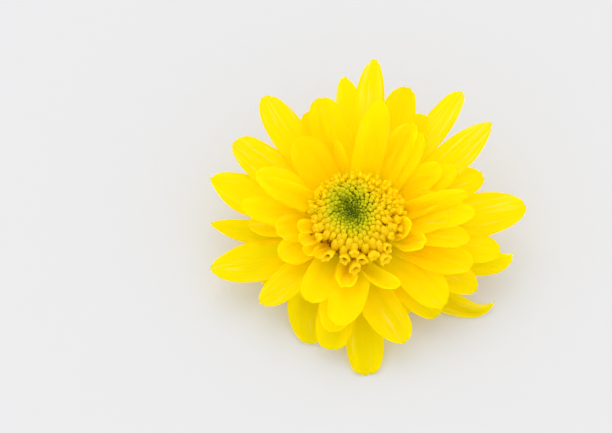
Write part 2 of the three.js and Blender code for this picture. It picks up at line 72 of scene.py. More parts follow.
# ---------- meshes ----------
class Skin:
    """Collects closed surfaces; every vertex carries three numbers and a paleness for the material: pale
    streaks on a petal, partly painted sheen and partly dry wear, and painted light on a floret.
    """

    def __init__(self):
        self.points, self.marks, self.pale, self.faces, self.count = [], [], [], [], 0

    def add(self, points, marks, faces, pale=0.0):
        points = np.asarray(points, float).reshape(-1, 3)
        self.points.append(points)
        self.marks.append(np.asarray(marks, float).reshape(-1, 3))
        self.pale.append(np.full(len(points), pale))
        self.faces.extend([tuple(int(i) + self.count for i in f) for f in faces])
        self.count += len(points)

    def piece(self, name, material, slot, *nodes):
        mesh = bpy.data.meshes.new(name)
        mesh.from_pydata(to_world(np.concatenate(self.points)).tolist(), [], self.faces)
        mesh.polygons.foreach_set("use_smooth", [True] * len(mesh.polygons))
        mark = mesh.attributes.new("mark", "FLOAT_VECTOR", "POINT")
        mark.data.foreach_set("vector", np.concatenate(self.marks).astype(np.float32).ravel())
        pale = mesh.attributes.new("pale", "FLOAT", "POINT")
        pale.data.foreach_set("value", np.concatenate(self.pale).astype(np.float32))
        mesh.materials.append(material)
        mesh.update()
        obj = bpy.data.objects.new(name, mesh)
        bpy.context.scene.collection.objects.link(obj)
        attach(obj, "root")
        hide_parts(*nodes)
        return obj


def sheet_faces(rows, cols):
    """Faces of a closed thin sheet: the upper grid's vertices come first, then the lower grid's."""
    faces = []
    low = rows * cols
    for i in range(rows - 1):
        for j in range(cols - 1):
            a = i * cols + j
            faces.append((a, a + cols, a + cols + 1, a + 1))
            faces.append((low + a, low + a + 1, low + a + cols + 1, low + a + cols))
        a, b = i * cols, i * cols + cols - 1
        faces.append((a, low + a, low + a + cols, a + cols))
        faces.append((b, b + cols, low + b + cols, low + b))
    end = (rows - 1) * cols
    for j in range(cols - 1):
        faces.append((j, j + 1, low + j + 1, low + j))
        faces.append((end + j, low + end + j, low + end + j + 1, end + j + 1))
    return faces


def tube_faces(rows, around):
    """Faces of a closed surface of revolution: a pole, rows of rings, and a pole."""
    faces = []
    for j in range(around):
        k = (j + 1) % around
        faces.append((0, 1 + k, 1 + j))
        for i in range(rows - 1):
            a = 1 + i * around
            faces.append((a + j, a + k, a + around + k, a + around + j))
        last = 1 + (rows - 1) * around
        faces.append((last + j, last + k, 1 + rows * around))
    return faces


# ---------- ray florets ----------
LAYER_ROOTS = {1: (7.2, -2.6), 2: (7.0, -2.0), 3: (6.8, -1.4), 4: (6.5, -0.8), 5: (6.2, -0.2)}
PETAL_WIDEST = 0.58
KNEE_ENDS = 0.45  # an inner petal climbs steeply up to this share of its length
PETAL_CLAW = {1: 0.55, 2: 0.58, 3: 0.66, 4: 0.82, 5: 0.6}  # width at the root, as a share, per layer
PETAL_SEED = 7100
PETAL_ROWS, PETAL_COLS = 38, 15
PETAL_MIDDLE, PETAL_MARGIN = 0.36, 0.1  # thickness in the middle and along the edge
ROW_CROWDING = 0.9  # rows of points lie closer together towards the tip
COLUMN_CROWDING = 0.85  # and columns towards the edges
SWELL_POWER = 1.25  # how a petal widens from its claw
TAPER_POWER = 2.6  # how it narrows past the widest place, less its point
TIP_POWER, TIP_POWER_GAIN = 0.5, 0.55  # how round its end is, and how a point sharpens it
HOOK_STARTS, SWERVE_STARTS, SWERVE_POWER = 0.72, 0.78, 1.5
USUAL_WIDTH = 7  # the reliefs grow with a petal's width from here
TIP_SHARE = 0.93  # the edges run to this share of the length; the last row of points closes the tip
# azimuth and reach place the tip seen from above; rise is the chord's slope; knee stands the root
# end up steeper; arch bends the blade down towards its tip (negative: up); slant swings the root
# round the axis; veer bends the blade sideways; cup is the half angle of its hollow section and
# roll turns that section round the middle line; point sharpens the tip, hook lifts it, swerve
# bends it sideways, and lean sets it to one side by this share of half the width; claw is the
# width at the root as a share, where it differs from the layer's. rib, ruffle, crumple and fold are
# millimetres of relief, teeth are shares of the length, painted_shading deepens the gold as painted
# shade (negative: paler, as painted light), and sheen_and_wear adds pale streaks near the tip that
# are partly painted sheen and partly dry wear.
PETAL_DEFAULTS = dict(
    arch=10, knee=0, cup=25, roll=0, slant=0, veer=0, point=0.1, hook=0, swerve=0, lean=0, claw=0,
    rib=0.14, ruffle=0.14, crumple=0.09, fold=0, teeth=0.014, painted_shading=0, sheen_and_wear=0,
)
PETALS = [
    # outer layers, from the back round the right side to the front
    dict(layer=2, azimuth=82.8, reach=31.4, rise=25, width=6.2, slant=-6, point=0.3, sheen_and_wear=1),
    dict(layer=3, azimuth=66.9, reach=26.5, rise=31, knee=30, width=7.6, arch=20, point=0.05,
         painted_shading=3.2),
    dict(layer=3, azimuth=56, reach=24.7, rise=22, knee=20, width=6.5, arch=15, cup=20),
    dict(layer=2, azimuth=48.1, reach=32.5, rise=21, width=5.9, cup=30, slant=-3, point=0.08,
         lean=0.18, sheen_and_wear=1),
    dict(layer=2, azimuth=33.8, reach=32.2, rise=22, width=7.2, arch=5, slant=-5, veer=18, point=0.5,
         sheen_and_wear=0.8),
    dict(layer=3, azimuth=17.3, reach=26.4, rise=17, width=7.3, arch=15, cup=20, painted_shading=0.3),
    dict(layer=2, azimuth=2.6, reach=33.2, rise=15, width=9, arch=0, roll=10, slant=-6, veer=16,
         point=0.15, painted_shading=0.9, sheen_and_wear=0.5),
    dict(layer=2, azimuth=-14, reach=29.0, rise=11, width=7.5),
    dict(layer=1, azimuth=-15, reach=31.6, rise=4, width=7.0, arch=-10, slant=-12, veer=16, point=0.6,
         hook=50, swerve=45),
    dict(layer=2, azimuth=-32, reach=27.5, rise=10, width=7.0),
    dict(layer=1, azimuth=-31, reach=30.2, rise=-9.55, width=5.4, arch=-5, slant=-30, veer=40,
         point=0.9, hook=66, swerve=60, lean=-0.3, painted_shading=-0.5, sheen_and_wear=0.7),
    dict(layer=2, azimuth=-50, reach=24.8, rise=4, width=7.6, point=-0.1, painted_shading=-0.5),
    dict(layer=3, azimuth=-45.3, reach=24.8, rise=14, width=8.2, arch=12, veer=-6, point=0.15,
         lean=-0.2, painted_shading=0.4),
    dict(layer=2, azimuth=-72, reach=26.6, rise=8, width=7.8, arch=12, slant=-6, veer=14, lean=0.3,
         fold=0.3, sheen_and_wear=0.2),
    dict(layer=1, azimuth=-84.9, reach=30.0, rise=-3, width=7.7, arch=12, point=-0.25, lean=-0.15,
         teeth=0.016, painted_shading=-1.4),
    dict(layer=1, azimuth=-101.5, reach=26.2, rise=5, width=7.6, arch=15, point=-0.2, painted_shading=-0.9),
    dict(layer=1, azimuth=-115.8, reach=25.9, rise=-6.2, width=7.8, slant=-14, veer=30, point=-0.05,
         lean=0.6, fold=0.5, painted_shading=-1, sheen_and_wear=0.3),
    dict(layer=2, azimuth=-137, reach=25.2, rise=10, width=6.3, point=0.2, painted_shading=-1.3, sheen_and_wear=0.6),
    dict(layer=1, azimuth=-161.5, reach=30.0, rise=6, width=8.4, arch=5, slant=10, veer=-24,
         point=0.4, sheen_and_wear=0.25),
    dict(layer=1, azimuth=181.3, reach=28.9, rise=5, width=5, arch=5, slant=8, veer=-25, point=0.7,
         lean=-0.3, painted_shading=0.3),
    dict(layer=2, azimuth=163.2, reach=29.8, rise=11, width=8.5, arch=0, slant=8, veer=-18,
         point=0.5),
    dict(layer=2, azimuth=148.5, reach=28.6, rise=15, width=8.0, lean=-0.15, sheen_and_wear=0.5),
    dict(layer=2, azimuth=127.3, reach=30.6, rise=18, width=7.5, arch=5, point=0.15, lean=-0.1,
         painted_shading=0.7, sheen_and_wear=0.4),
    dict(layer=3, azimuth=114, reach=23.6, rise=20, knee=26, width=6.0, painted_shading=2.6),
    dict(layer=3, azimuth=105.2, reach=25.1, rise=22, knee=26, width=7.6, arch=15, point=0, lean=0.1,
         painted_shading=1),
    dict(layer=2, azimuth=91.6, reach=29, rise=19, width=6.2, point=0.35, lean=0.4, painted_shading=-0.6,
         sheen_and_wear=0.5),
    # inner layers, from the back round the left side to the front and the right
    dict(layer=4, azimuth=78.6, reach=21.6, rise=39, knee=40, width=6.3, arch=15, cup=15, slant=-6,
         point=0.2, lean=-0.2, claw=0.95, painted_shading=-0.8),
    dict(layer=5, azimuth=103.5, reach=15.6, rise=31, knee=36, width=3.0, roll=-35, point=0.3,
         painted_shading=0.6),
    dict(layer=4, azimuth=129, reach=18.3, rise=37, knee=40, width=7.6, arch=15, cup=15, point=0,
         painted_shading=2.3),
    dict(layer=4, azimuth=158, reach=20.7, rise=33, knee=36, width=6.6, arch=12, point=0.3, lean=0.2,
         painted_shading=0.5),
    dict(layer=4, azimuth=163, reach=18.8, rise=33, knee=36, width=5.0, cup=35, roll=-20, point=0.15),
    dict(layer=3, azimuth=177, reach=22.5, rise=22, knee=20, width=6.4, arch=12, point=0.35,
         lean=-0.2),
    dict(layer=2, azimuth=182.5, reach=21.0, rise=14, width=6.0, arch=15, point=0.2),
    dict(layer=4, azimuth=190, reach=15.8, rise=27, knee=20, width=6.2, arch=5, cup=30, point=0,
         painted_shading=0.6),
    dict(layer=4, azimuth=209.5, reach=17.0, rise=23, knee=10, width=6.4, arch=5, cup=30, point=0),
    dict(layer=4, azimuth=243, reach=19.7, rise=20, width=7.0, arch=5, cup=30, point=0, painted_shading=-1.4),
    dict(layer=3, azimuth=258, reach=23.7, rise=13, width=7.0, arch=12, cup=30, point=0, painted_shading=0.8),
    dict(layer=4, azimuth=263.2, reach=22.8, rise=19, width=7.2, arch=8, slant=14, veer=-6, point=0,
         lean=-0.25, painted_shading=-1.5),
    dict(layer=5, azimuth=261.5, reach=15.4, rise=29, width=5.0, arch=-25, cup=62, point=-0.1,
         hook=25),
    dict(layer=5, azimuth=300.5, reach=17.0, rise=26, width=4.3, arch=-25, cup=72, slant=-30, veer=50,
         hook=20),
    dict(layer=5, azimuth=333.5, reach=14.9, rise=34, width=5.6, arch=-20, cup=62, point=-0.1,
         hook=20),
    dict(layer=5, azimuth=-14, reach=11.1, rise=54, width=5.2, arch=-25, cup=62, slant=-20,
         point=-0.1, hook=20),
    dict(layer=4, azimuth=-4, reach=18.0, rise=33, knee=20, width=6.0, arch=5, cup=30, sheen_and_wear=0.3),
    dict(layer=4, azimuth=-15.5, reach=22.5, rise=26, knee=20, width=5.6, arch=8, cup=30),
    dict(layer=3, azimuth=-3, reach=22.8, rise=32, knee=20, width=5.6, cup=30),
    dict(layer=4, azimuth=6.5, reach=21.5, rise=35, knee=26, width=4.0, roll=30, painted_shading=0.8),
    dict(layer=4, azimuth=9, reach=16.5, rise=37, knee=26, width=5.0, cup=30),
    dict(layer=4, azimuth=24.5, reach=16.5, rise=36, knee=26, width=5.0, cup=30),
    dict(layer=4, azimuth=28.5, reach=19.0, rise=33, knee=26, width=5.6, cup=30),
    dict(layer=3, azimuth=24, reach=21.5, rise=29, knee=20, width=6.0, cup=30),
    dict(layer=3, azimuth=-27.5, reach=24.6, rise=19, width=7.2, arch=8, point=-0.05, lean=0.2,
         painted_shading=0.3),
    dict(layer=4, azimuth=48, reach=20.2, rise=34, knee=36, width=5.8, arch=15, point=0.4, lean=0.2,
         painted_shading=-0.5),
    dict(layer=4, azimuth=58, reach=20.7, rise=35, knee=36, width=6.2, arch=15, point=0.3, lean=-0.2,
         painted_shading=-1.2),
    # narrow quilled petals between the disc and the petals on the left
    dict(layer=5, azimuth=197, reach=11.7, rise=48, width=3.7, arch=35, cup=82, point=-0.6, claw=0.8,
         painted_shading=2),
    dict(layer=5, azimuth=209, reach=12.4, rise=42, width=3.9, arch=35, cup=82, point=-0.6, claw=0.8,
         painted_shading=1.6),
    dict(layer=5, azimuth=219.5, reach=12.8, rise=37, width=3.7, arch=35, cup=80, point=-0.5,
         claw=0.8, painted_shading=1.6),
    dict(layer=5, azimuth=229, reach=11.8, rise=42, width=3.4, arch=40, cup=84, point=-0.5, claw=0.8,
         painted_shading=1),
    # short petals that close the gaps low down
    dict(layer=2, azimuth=72, reach=22, rise=18, width=6.4),
    dict(layer=2, azimuth=22, reach=22, rise=12, width=6.4),
    dict(layer=2, azimuth=-60, reach=21, rise=3, width=6.4, painted_shading=-1),
    dict(layer=2, azimuth=-122, reach=18.5, rise=3, width=6.0, painted_shading=-1),
    dict(layer=1, azimuth=-147, reach=22, rise=4, width=6.4, painted_shading=-0.8),
    dict(layer=1, azimuth=170, reach=21, rise=6, width=6.0),
    dict(layer=1, azimuth=137, reach=22, rise=9, width=6.4, painted_shading=-1),
    dict(layer=1, azimuth=110, reach=21, rise=12, width=6.0),
]


def width_at(s, point, claw):
    """Share of its full width that a petal has at a station."""
    swell = np.sin(np.clip(s / PETAL_WIDEST, 0, 1) * math.pi / 2) ** SWELL_POWER
    beyond = np.clip((s - PETAL_WIDEST) / (1 - PETAL_WIDEST), 0, 1)
    taper = np.clip(1 - beyond ** (TAPER_POWER - point), 0, 1) ** (TIP_POWER + TIP_POWER_GAIN * point)
    return (claw + (1 - claw) * swell) * taper


def station_at(width, point):
    """The station past the widest one where a petal has this share of its full width."""
    beyond = np.clip(1 - width ** (1 / (TIP_POWER + TIP_POWER_GAIN * point)), 0, 1)
    return PETAL_WIDEST + (1 - PETAL_WIDEST) * beyond ** (1 / (TAPER_POWER - point))


def petal_line(p, steps=200):
    """Middle line of a petal: stations, points, pitch and yaw."""
    radius, height = LAYER_ROOTS[p["layer"]]
    turn = math.radians(p["azimuth"] + p["slant"])
    root = np.array([radius * math.cos(turn), radius * math.sin(turn), height])
    turn = math.radians(p["azimuth"])
    tip_height = height + (p["reach"] - radius) * math.tan(math.radians(p["rise"]))
    chord = np.array([p["reach"] * math.cos(turn), p["reach"] * math.sin(turn), tip_height]) - root
    heading = math.atan2(chord[1], chord[0])
    climb = math.atan2(chord[2], math.hypot(chord[0], chord[1]))
    s = np.linspace(0, 1, steps + 1)
    lift = math.radians(p["hook"]) * np.clip((s - HOOK_STARTS) / (1 - HOOK_STARTS), 0, 1) ** 2
    knee = math.radians(p["knee"]) * (np.clip(1 - s / KNEE_ENDS, 0, 1) ** 2 - KNEE_ENDS / 3)
    pitch = climb + math.radians(p["arch"]) * (0.5 - s) + knee + lift
    swerved = np.clip((s - SWERVE_STARTS) / (1 - SWERVE_STARTS), 0, 1) ** SWERVE_POWER
    yaw = heading + math.radians(p["veer"]) * (s - 0.5) + math.radians(p["swerve"]) * swerved
    along = np.stack([np.cos(pitch) * np.cos(yaw), np.cos(pitch) * np.sin(yaw), np.sin(pitch)], -1)
    walked = np.concatenate([[np.zeros(3)], np.cumsum((along[1:] + along[:-1]) / 2, 0)])
    scale = np.linalg.norm(chord) / np.linalg.norm(walked[-1])
    return s, root + walked * scale, pitch, yaw


def petal(skin, spec, index):
    """One blade: a hollow sheet along its middle line, with ribs, waves, dents and a toothed tip."""
    p = {**PETAL_DEFAULTS, **spec}
    draw = random.Random(PETAL_SEED + index)
    s_line, line, pitch, yaw = petal_line(p)
    claw = p["claw"] or PETAL_CLAW[p["layer"]]
    a = np.linspace(0, 1, PETAL_ROWS) ** ROW_CROWDING
    v = np.linspace(-1, 1, PETAL_COLS)
    v = np.sign(v) * np.abs(v) ** COLUMN_CROWDING
    A, V = np.meshgrid(a, v, indexing="ij")
    tip_width = float(width_at(np.array(TIP_SHARE), p["point"], claw))
    end = station_at(np.abs(v) * tip_width, p["point"])
    phase = draw.uniform(-0.5, 0.5)
    teeth = np.cos(2 * math.pi * (v * 1.5 + phase)) * p["teeth"] * (1 - v ** 2)
    end = end - np.abs(teeth) - teeth * 0.4
    S = A * end[None, :]
    uneven = draw.uniform(-0.07, 0.07)  # one side is a little wider than the other, in slow waves
    uneven = uneven + 0.035 * np.sin(2 * math.pi * (A * draw.uniform(0.8, 1.6) + draw.random()))
    half = p["width"] / 2 * width_at(A * TIP_SHARE, p["point"], claw) * (1 + uneven * V)
    take = lambda column: np.interp(S, s_line, column)
    middle = np.stack([take(line[:, k]) for k in range(3)], -1)
    P, Y = take(pitch), take(yaw)
    along = np.stack([np.cos(P) * np.cos(Y), np.cos(P) * np.sin(Y), np.sin(P)], -1)
    level = np.stack([-np.sin(Y), np.cos(Y), 0 * Y], -1)
    up = np.cross(along, level)
    roll = np.radians(p["roll"]) * np.minimum(S * 1.6, 1)
    side = level * np.cos(roll)[..., None] + up * np.sin(roll)[..., None]
    up = up * np.cos(roll)[..., None] - level * np.sin(roll)[..., None]
    # deeper at the claw, flatter towards the tip
    cup = np.radians(p["cup"]) * (1.25 - 0.45 * smooth(S, 0.1, 0.9))
    cup = np.where(np.abs(cup) < 1e-3, 1e-3, cup)
    sideways = half * np.sin(cup * V) / cup + p["lean"] * p["width"] / 2 * smooth(S, 0.5, 1.05)
    lift = half * (1 - np.cos(cup * V)) / cup
    body = np.sin(math.pi * np.clip(S, 0, 1)) ** 0.6
    scale = p["width"] / USUAL_WIDTH
    lift += p["rib"] * scale * np.cos(3 * math.pi * V) * body * (1 - 0.5 * V ** 2)
    for edge in (-1, 1):
        waves, shift = draw.uniform(1.6, 3.2), draw.uniform(0, 1)
        rim = np.clip(V * edge, 0, 1) ** 2.2 * smooth(S, 0.15, 0.5)
        wave = np.sin(2 * math.pi * (waves * S + shift))
        lift += p["ruffle"] * draw.uniform(0.5, 1.5) * scale * rim * wave
    for _ in range(5):  # soft dents and folds, mostly lengthwise
        dents, across = draw.uniform(0.6, 2.6), draw.uniform(-1.6, 1.6)
        wave = np.sin(2 * math.pi * (dents * S + across * V + draw.random()))
        lift += p["crumple"] * scale * draw.uniform(0.4, 1.0) * wave * smooth(S, 0.1, 0.45)
    lift += p["fold"] * (np.abs(V) - 0.5) * body
    centre = middle + side * sideways[..., None] + up * lift[..., None]
    # normals of the bent sheet itself
    normal = unit(np.cross(np.gradient(centre, axis=0), np.gradient(centre, axis=1)))
    edge_out = (1 - V ** 2) ** 0.5 * (1 - smooth(A, 0.85, 1.0) * 0.8)
    thick = PETAL_MARGIN + (PETAL_MIDDLE - PETAL_MARGIN) * edge_out
    offset = (thick / 2)[..., None] * normal
    # a random tone plus the petal's painted shading: above zero a deeper gold as painted shade, below zero
    # a paler yellow as painted light
    hue = draw.uniform(0, 1) + p["painted_shading"]
    marks = np.stack([S, V, np.full_like(S, hue)], -1)
    skin.add(
        np.concatenate([(centre + offset).reshape(-1, 3), (centre - offset).reshape(-1, 3)]),
        np.concatenate([marks.reshape(-1, 3)] * 2),
        sheet_faces(PETAL_ROWS, PETAL_COLS),
        # how strong the pale streaks are: partly painted sheen, partly dry wear
        p["sheen_and_wear"],
    )


# ---------- disc ----------
DISC_CENTRE = np.array([-0.1, -0.9, 0.0])
CROWN_SHIFT = np.array([-0.6, -0.2, 0.0])  # the youngest buds lie off the middle of the disc
DISC_SEED = 42
TUBE_ROOTS = 6.0  # radius at which the open florets grow
TUBE_LIPS = 10  # rows of an open tube up to the inside of its lips
GROWS_FROM, GROWS_TO = 3.6, 6.2  # radii between which buds turn into florets about to open
CLOSED_EDGE = 6.7  # radius of the closed part of the disc, at the floret tips
BUD_EDGE = 4.4  # the tight green buds end here
# Along the disc's radius: height of the floret tips, and how far the florets lean inwards.
TIP_CURVE = ([0, 1.5, 3.0, 4.2, 5.2, 6.0, 6.7], [8.1, 8.6, 8.9, 8.8, 8.3, 7.6, 6.8])
LEAN_CURVE = ([0, 2.0, 4.0, 5.5, 6.7], [0, 8, 18, 26, 24])
# Open florets at the front and sides: mouth (x, y, height), radius of the mouth, how round it is,
# turn of its long side, slant of the mouth, and 1 for open or 0 for closed.
FRONT_TUBES = [
    (-2.3, -9.7, 5.7, 1.05, 0.85, 20, 0.2, 1),
    (1.0, -9.9, 5.8, 1.05, 0.9, 0, 0.1, 1),
    (-0.2, -11.3, 4.7, 1.15, 0.7, 25, 0.5, 1),
    (-0.4, -9.0, 6.7, 0.98, 0.9, 0, 0.0, 0),
    (3.4, -9.3, 6.0, 1.15, 0.8, 40, 0.3, 0),
    (5.6, -9.5, 5.2, 1.1, 0.6, 5, 0.4, 1),
    (6.0, -7.6, 6.1, 0.95, 0.8, 60, 0.3, 1),
    (6.9, -5.2, 6.3, 0.85, 0.8, 20, 0.2, 0),
    (7.5, -3.4, 6.3, 0.8, 0.9, 0, 0.0, 0),
    (-5.6, -9.0, 5.4, 1.15, 0.6, 50, 0.5, 1),
    (-7.4, -5.4, 6.3, 0.85, 0.8, 50, 0.2, 0),
    (-7.9, -3.6, 6.4, 0.85, 0.8, 50, 0.2, 0),
    (-8.2, -1.6, 6.4, 0.85, 0.9, 0, 0.2, 0),
    (-8.8, 0.6, 6.2, 0.85, 0.8, 20, 0.3, 0),
    (8.2, -1.6, 6.1, 0.85, 0.8, 10, 0.3, 0),
    (8.9, 0.4, 6.1, 0.8, 0.8, 80, 0.3, 0),
]
# Radius and height of the solid floor between the florets.
DISC_CORE = [(0, 1.1), (6.6, 1.1), (7.2, 2.0), (6.9, 3.2), (6.2, 4.5), (5.0, 5.9), (3.5, 6.8), (1.8, 7.2),
             (0, 7.2)]
BACK_TUBES = [
    # count, azimuths from and to, mouth radius on the disc, height, radius of the mouth, most green
    (26, 0, 184, 7.1, 7.5, 0.39, 0.36),
    (29, 4, 178, 7.8, 7.1, 0.36, 0.36),
    (30, 6, 176, 8.4, 6.6, 0.34, 0.3),
    (28, -6, 178, 9.0, 6.0, 0.34, 0.2),
    (14, -24, 50, 9.6, 4.9, 0.5, 0.05),
]
# painted shade: the mark for the dark colour deep inside the tubes
THROAT_SHADE_MARK = -1.0  # the mark for the deep orange inside the tubes


def spacing(radius):
    """Distance between neighbouring florets, which are smallest in the middle."""
    return 0.4 + 0.98 * (radius / CLOSED_EDGE) ** 1.45


def spiral_radii(edge):
    """Radii of florets on the golden spiral, closer together in the middle."""
    fine = np.linspace(0, edge, 2000)
    per_step = 2 * math.pi * fine / (0.866 * spacing(fine) ** 2) * (fine[1] - fine[0])
    total = np.cumsum(per_step)
    count = int(total[-1])
    return np.interp(np.arange(count) + 0.5, total, fine)


def polar(radius, azimuth, height):
    """A point from its distance to the axis, its azimuth in degrees and its height."""
    a = math.radians(azimuth)
    return np.array([radius * math.cos(a), radius * math.sin(a), height])


def sweep(skin, base, bend, tip, rows, around, style):
    """A closed surface round a curved middle line.
    rows: (place on the line, radius, lobe depth, lobe rise, roundness, slant); poles at both ends.
    style: lobes and low are angles of the lobes and of the slant's low side, twist turns the
    section, odd makes the lobes uneven, pale goes to the material, and of gives a row's marks."""
    def at(t):
        t = np.asarray(t, float)[..., None]
        return base * (1 - t) ** 2 + 2 * bend * t * (1 - t) + tip * t ** 2

    def heading(t):
        t = np.asarray(t, float)[..., None]
        return unit(2 * (bend - base) * (1 - t) + 2 * (tip - bend) * t)

    length = float(np.linalg.norm(tip - base))
    ahead = heading(1.0)
    flat = np.array([-ahead[1], ahead[0], 0.0])
    steep = np.linalg.norm(flat) <= 1e-3
    side = np.array([1.0, 0, 0]) if steep else flat / np.linalg.norm(flat)
    angle = np.linspace(0, 2 * math.pi, around, endpoint=False)
    lobes, twist = style["lobes"], style["twist"]
    wave = np.cos(5 * angle + lobes) + 0.4 * np.cos(3 * angle + 2 * lobes)
    wave += 0.5 * np.cos(2 * angle + 1.7 * lobes) * style["odd"]
    points, lines = [at(rows[0][0])], [style["of"](0, rows[0][0])]
    for k, (t, r, deep, tall, round_, slant) in enumerate(rows[1:-1]):
        along = heading(min(t, 1.0))
        u = unit(side - along * np.dot(side, along))
        w = np.cross(along, u)
        rr = r * (1 + deep * wave)
        x, y = np.cos(angle) * rr, np.sin(angle) * rr
        c, s = math.cos(twist), math.sin(twist)
        p, q = x * c + y * s, (-x * s + y * c) * round_
        x, y = p * c - q * s, p * s + q * c
        rise = tall * wave * r + slant * np.cos(angle - style["low"]) * r
        centre = at(min(t, 1.0)) + along * max(t - 1.0, 0) * length
        points.extend(centre + np.outer(x, u) + np.outer(y, w) + np.outer(rise, along))
        lines.extend([style["of"](k, t)] * around)
    t = rows[-1][0]
    points.append(at(min(t, 1.0)) + heading(min(t, 1.0)) * max(t - 1.0, 0) * length)
    lines.append(style["of"](len(rows), t))
    skin.add(points, lines, tube_faces(len(rows) - 2, around), style["pale"])


def greenness(radius, azimuth):
    """1 in the middle of the disc, 0 where the tips are all yellow: further out at the back and
    on the left than at the front and on the right."""
    turn = math.radians(azimuth)
    reach = 6.8 + 1.2 * math.sin(turn) - 0.7 * math.cos(turn) - 0.7 * max(0.0, math.cos(turn))
    return max(0.0, 1 - radius * (1 - 0.12 * math.cos(2 * turn - 4.2)) / reach)


def closed_floret(skin, radius, azimuth, draw):
    """A bud or a closed floret: a club on a thin foot that leans inwards, its tip on the dome."""
    grown = float(smooth(radius, GROWS_FROM, GROWS_TO))  # 0 for a tight bud, 1 for a floret about to open
    r = float(spacing(radius)) * (0.53 + 0.08 * grown)
    r = r * draw.uniform(0.9 - 0.08 * grown, 1.08 + 0.08 * grown)
    lean = math.radians(float(np.interp(radius, *LEAN_CURVE)) + draw.uniform(-6, 6) * (1 + grown))
    length = min(1.2 + radius * 0.42, 4.0) * draw.uniform(0.94, 1.08)
    at = polar(radius, azimuth + draw.uniform(-3, 3), float(np.interp(radius, *TIP_CURVE)))
    tip = DISC_CENTRE + at + CROWN_SHIFT * (1 - (radius / CLOSED_EDGE) ** 2)
    tip = tip + np.array([0, 0, draw.uniform(-0.14, 0.14) * (1 + 1.2 * grown)])
    out = polar(1, azimuth, 0)
    aside = polar(1, azimuth + 90, 0) * draw.uniform(-0.16, 0.16) * grown
    axis = unit(np.array([0, 0, math.cos(lean)]) - out * math.sin(lean) + aside)
    base = tip - axis * length + out * 0.12 * length
    bend = tip - axis * length * 0.45 + out * 0.1 * length
    green, hue = greenness(radius, azimuth), draw.uniform(0, 1)
    end = r / length  # the rounded end, as a share of the length
    foot = max(0.12, 1 - 3.6 * end)
    lobe = 1 + 0.8 * grown
    rows = [
        (0, 0, 0, 0, 1, 0),
        (0.02, r * 0.4, 0, 0, 1, 0),
        (foot, r * 0.55, 0.02, 0, 1, 0),
        (foot + 0.5 * end, r * 0.84, 0.04 * lobe, 0, 1, 0),
        (1 - 2.2 * end, r * 1.0, 0.05 * lobe, 0, 1, 0),
        (1 - 1.3 * end, r * 1.02, 0.07 * lobe, 0, 1, 0),
        (1 - 0.75 * end, r * 0.93, 0.09 * lobe, 0, 1, 0),
        (1 - 0.38 * end, r * 0.76, 0.12 * lobe, 0.03 * lobe, 1, 0),
        (1 - 0.1 * end, r * 0.54, 0.16 * lobe, 0.07 * lobe, 1, 0),
        (1 - 0.04 * end, r * 0.3, 0.2, 0.06, 1, 0),
        (1 - (0.3 + 0.6 * grown) * end, 0, 0, 0, 1, 0),
    ]
    # painted shade: the dimple's pole is painted dark where the floret is about to open
    shaded_pit = len(rows)  # the pole of the dimple, dark where the floret is about to open
    sweep(skin, base, bend, tip, rows, 10 if radius < 1.6 else 20, dict(
        lobes=draw.uniform(0, 6.28), twist=0.0, low=0.0, odd=grown,
        # painted light on the back florets that are about to open
        pale=0.7 * grown * painted_back_light(azimuth),
        of=lambda k, t: (green - grown * (k == shaded_pit), t, hue)))


def painted_back_light(azimuth):
    """How much painted light a floret gets: 0 for the orange florets at the front, 1 for the pale ones at
    the back of the disc, where the painted light lifts the shade.
    """
    return float(smooth(math.sin(math.radians(azimuth)), -0.75, 0.35))


def open_floret(skin, mouth_at, radius, round_, turn, slant, opened, draw, tinge=0.0):
    """A tube that bends outwards. Its mouth has thick lips round a throat painted dark as shade, or is
    still shut.
    """
    tip = np.array(mouth_at, float)
    flat = tip - DISC_CENTRE
    azimuth = math.degrees(math.atan2(flat[1], flat[0]))
    base = DISC_CENTRE + polar(TUBE_ROOTS, azimuth + draw.uniform(-4, 4), 2.9 + 0.25 * (tip[2] - 4.5))
    bend = (base + tip) / 2 + np.array([0, 0, 0.7]) + polar(-0.3, azimuth, 0)
    r, hue = radius, draw.uniform(0, 1)
    green = max(greenness(math.hypot(flat[0], flat[1]), azimuth), tinge)
    rows = [
        (0, 0, 0, 0, 1, 0),
        (0.01, r * 0.36, 0, 0, 1, 0),
        (0.3, r * 0.4, 0, 0, 1, 0),
        (0.5, r * 0.5, 0.03, 0, (1 + round_) / 2, 0),
        (0.68, r * 0.78, 0.06, 0, round_, slant * 0.2),
        (0.84, r * 0.97, 0.09, 0.03, round_, slant * 0.5),
    ]
    if opened:
        rows += [
            (0.94, r * 1.03, 0.1, 0.06, round_, slant * 0.8),
            (1.01, r * 1.06, 0.12, 0.1, round_, slant),
            (1.05, r * 0.99, 0.13, 0.13, round_, slant),
            (1.058, r * 0.84, 0.15, 0.14, round_, slant),
            (1.02, r * 0.66, 0.17, 0.1, round_, slant * 0.9),
            (0.94, r * 0.52, 0.13, 0.05, round_, slant * 0.7),
            (0.8, r * 0.4, 0.08, 0, round_, slant * 0.4),
            (0.66, r * 0.3, 0, 0, round_, 0),
            (0.6, 0, 0, 0, 1, 0),
        ]
    else:
        rows += [
            (0.93, r * 0.99, 0.1, 0.03, 1, slant * 0.4),
            (0.99, r * 0.86, 0.13, 0.06, 1, slant * 0.4),
            (1.03, r * 0.62, 0.18, 0.12, 1, slant * 0.3),
            (1.03, r * 0.36, 0.24, 0.12, 1, slant * 0.2),
            (0.96, 0, 0, 0, 1, 0),
        ]
    sweep(skin, base, bend, tip, rows, 30, dict(
        lobes=draw.uniform(0, 6.28), twist=math.radians(turn), low=draw.uniform(-0.6, 0.6) - 1.57,
        # painted light on the florets at the back
        odd=1, pale=painted_back_light(azimuth),
        of=lambda k, t: (THROAT_SHADE_MARK if opened and k > TUBE_LIPS else green, t, hue)))


